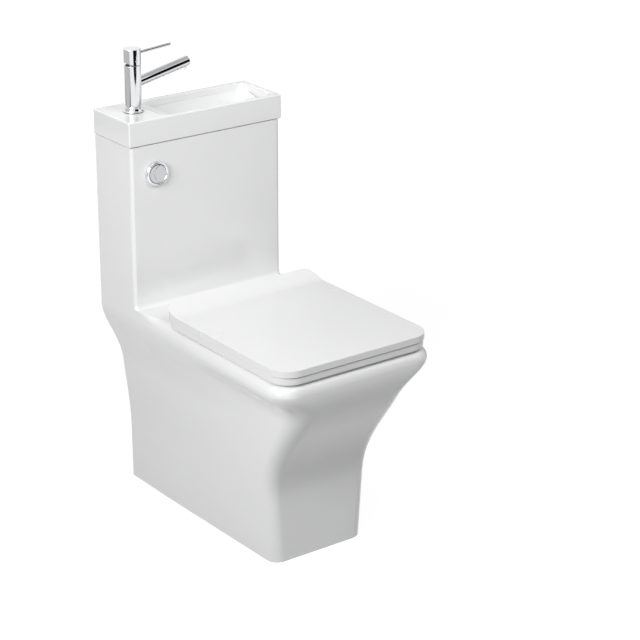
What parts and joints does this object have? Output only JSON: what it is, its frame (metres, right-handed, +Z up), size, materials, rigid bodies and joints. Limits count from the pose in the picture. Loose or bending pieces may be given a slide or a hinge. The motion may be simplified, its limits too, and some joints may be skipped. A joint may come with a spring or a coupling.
{
  "type": "toilet with basin on the cistern",
  "caption": "White back-to-wall toilet whose tower cistern carries a small hand basin with a lever mixer tap, a front push button, and a slim square seat and lid.",
  "frame": {"origin": "middle of the footprint on the floor, half-way between the wall plane and the front of the pan", "axes": "+Z up, -Y out of the wall towards the user, +X to the right of someone who faces it"},
  "size_m": [0.362, 0.63, 0.9338],
  "materials": {
    "white_china": "smooth glossy white glaze",
    "seat_plastic": "satin white thermoset plastic",
    "chrome": "bright chrome plate",
    "rubber": "black rubber",
    "valve_plastic": "pale moulded plastic",
    "valve_blue": "blue-grey moulded plastic",
    "waste_plastic": "white moulded plastic",
    "steel": "plain steel",
    "red_hose": "steel tail, hot side",
    "blue_hose": "steel tail, cold side"
  },
  "bodies": {
    "china": {"china_body": "white_china", "tower_walls": "white_china", "tower_back": "white_china", "basin": "white_china", "basin_seal": "rubber", "waste_body": "chrome", "waste_washers": "rubber", "waste_backnut": "waste_plastic", "waste_elbow": "waste_plastic", "waste_elbow_nut": "waste_plastic", "waste_pipe": "waste_plastic", "waste_grommet": "rubber", "tap_body": "chrome", "tap_base_ring": "rubber", "tap_aerator": "chrome", "tap_cartridge": "valve_plastic", "tap_cartridge_nut": "steel", "tap_stud": "steel", "tap_horseshoe": "rubber", "tap_stud_nut": "steel", "hot_tail": "red_hose", "cold_tail": "blue_hose", "button_bezel": "chrome", "button_barrel": "valve_plastic", "button_gasket": "rubber", "button_nut": "valve_plastic", "bellows_case": "valve_plastic", "air_tubes": "rubber", "valve_base": "valve_plastic", "valve_washer": "rubber", "valve_cage": "valve_blue", "lift_cylinder": "valve_plastic", "fill_body": "valve_plastic", "fill_washer": "rubber", "fill_backnut": "valve_plastic", "hinge_posts": "chrome", "hinge_bolts": "steel", "hinge_sleeves": "rubber", "hinge_nuts": "valve_plastic", "hinge_pins": "steel"},
    "seat": {"seat_ring": "seat_plastic", "seat_dampers": "valve_plastic", "seat_buffers": "valve_plastic"},
    "lid": {"lid": "seat_plastic", "lid_dampers": "valve_plastic", "lid_buffers": "valve_plastic"},
    "full_button": {"full_flush_button": "chrome"},
    "half_button": {"half_flush_button": "chrome"},
    "tap_turning_stem": {"tap_stem": "valve_plastic"},
    "tap_handle": {"tap_cap": "chrome", "tap_lever": "chrome", "tap_grub_screw": "rubber"},
    "plug": {"waste_plug": "chrome"},
    "flush_valve": {"overflow_tube": "valve_plastic", "valve_seal": "rubber", "lift_arm": "valve_blue"},
    "float": {"fill_float": "valve_blue"},
    "pilot": {"pilot_lever": "valve_blue"}
  },
  "joints": [
    {"name": "seat_hinge", "type": "hinge", "parent": "china", "child": "seat", "pos_m": [0, 0.071, 0.452], "axis": [1, 0, 0], "range_deg": [-95, 0]},
    {"name": "lid_hinge", "type": "hinge", "parent": "seat", "child": "lid", "pos_m": [0, 0.071, 0.452], "axis": [-1, 0, 0], "range_deg": [0, 100]},
    {"name": "full_flush_press", "type": "slide", "parent": "china", "child": "full_button", "axis": [0, 1, 0], "range_m": [0, 0.006], "stiffness_N_per_m": 300},
    {"name": "half_flush_press", "type": "slide", "parent": "china", "child": "half_button", "axis": [0, 1, 0], "range_m": [0, 0.006], "stiffness_N_per_m": 300},
    {"name": "tap_turn", "type": "hinge", "parent": "china", "child": "tap_turning_stem", "pos_m": [-0.125, 0.251, 0.9024], "axis": [0, 0, 1], "range_deg": [-45, 45]},
    {"name": "tap_lift", "type": "hinge", "parent": "tap_turning_stem", "child": "tap_handle", "pos_m": [-0.125, 0.251, 0.9114], "axis": [0, -1, 0], "range_deg": [0, 22]},
    {"name": "plug_press", "type": "slide", "parent": "china", "child": "plug", "axis": [0, 0, 1], "range_m": [-0.006, 0], "stiffness_N_per_m": 400},
    {"name": "flush_valve_lift", "type": "slide", "parent": "china", "child": "flush_valve", "axis": [0, 0, 1], "range_m": [0, 0.018]},
    {"name": "float_travel", "type": "slide", "parent": "china", "child": "float", "axis": [0, 0, 1], "range_m": [-0.02, 0]},
    {"name": "pilot_lever_tilt", "type": "hinge", "parent": "china", "child": "pilot", "pos_m": [-0.082, 0.25, 0.636], "axis": [0, 1, 0], "range_deg": [-45, 0]}
  ],
  "couplings": [
    {"joint": "flush_valve_lift", "follows": "full_flush_press", "ratio": 3},
    {"joint": "pilot_lever_tilt", "follows": "float_travel", "rad_per_m": 31.4}
  ]
}
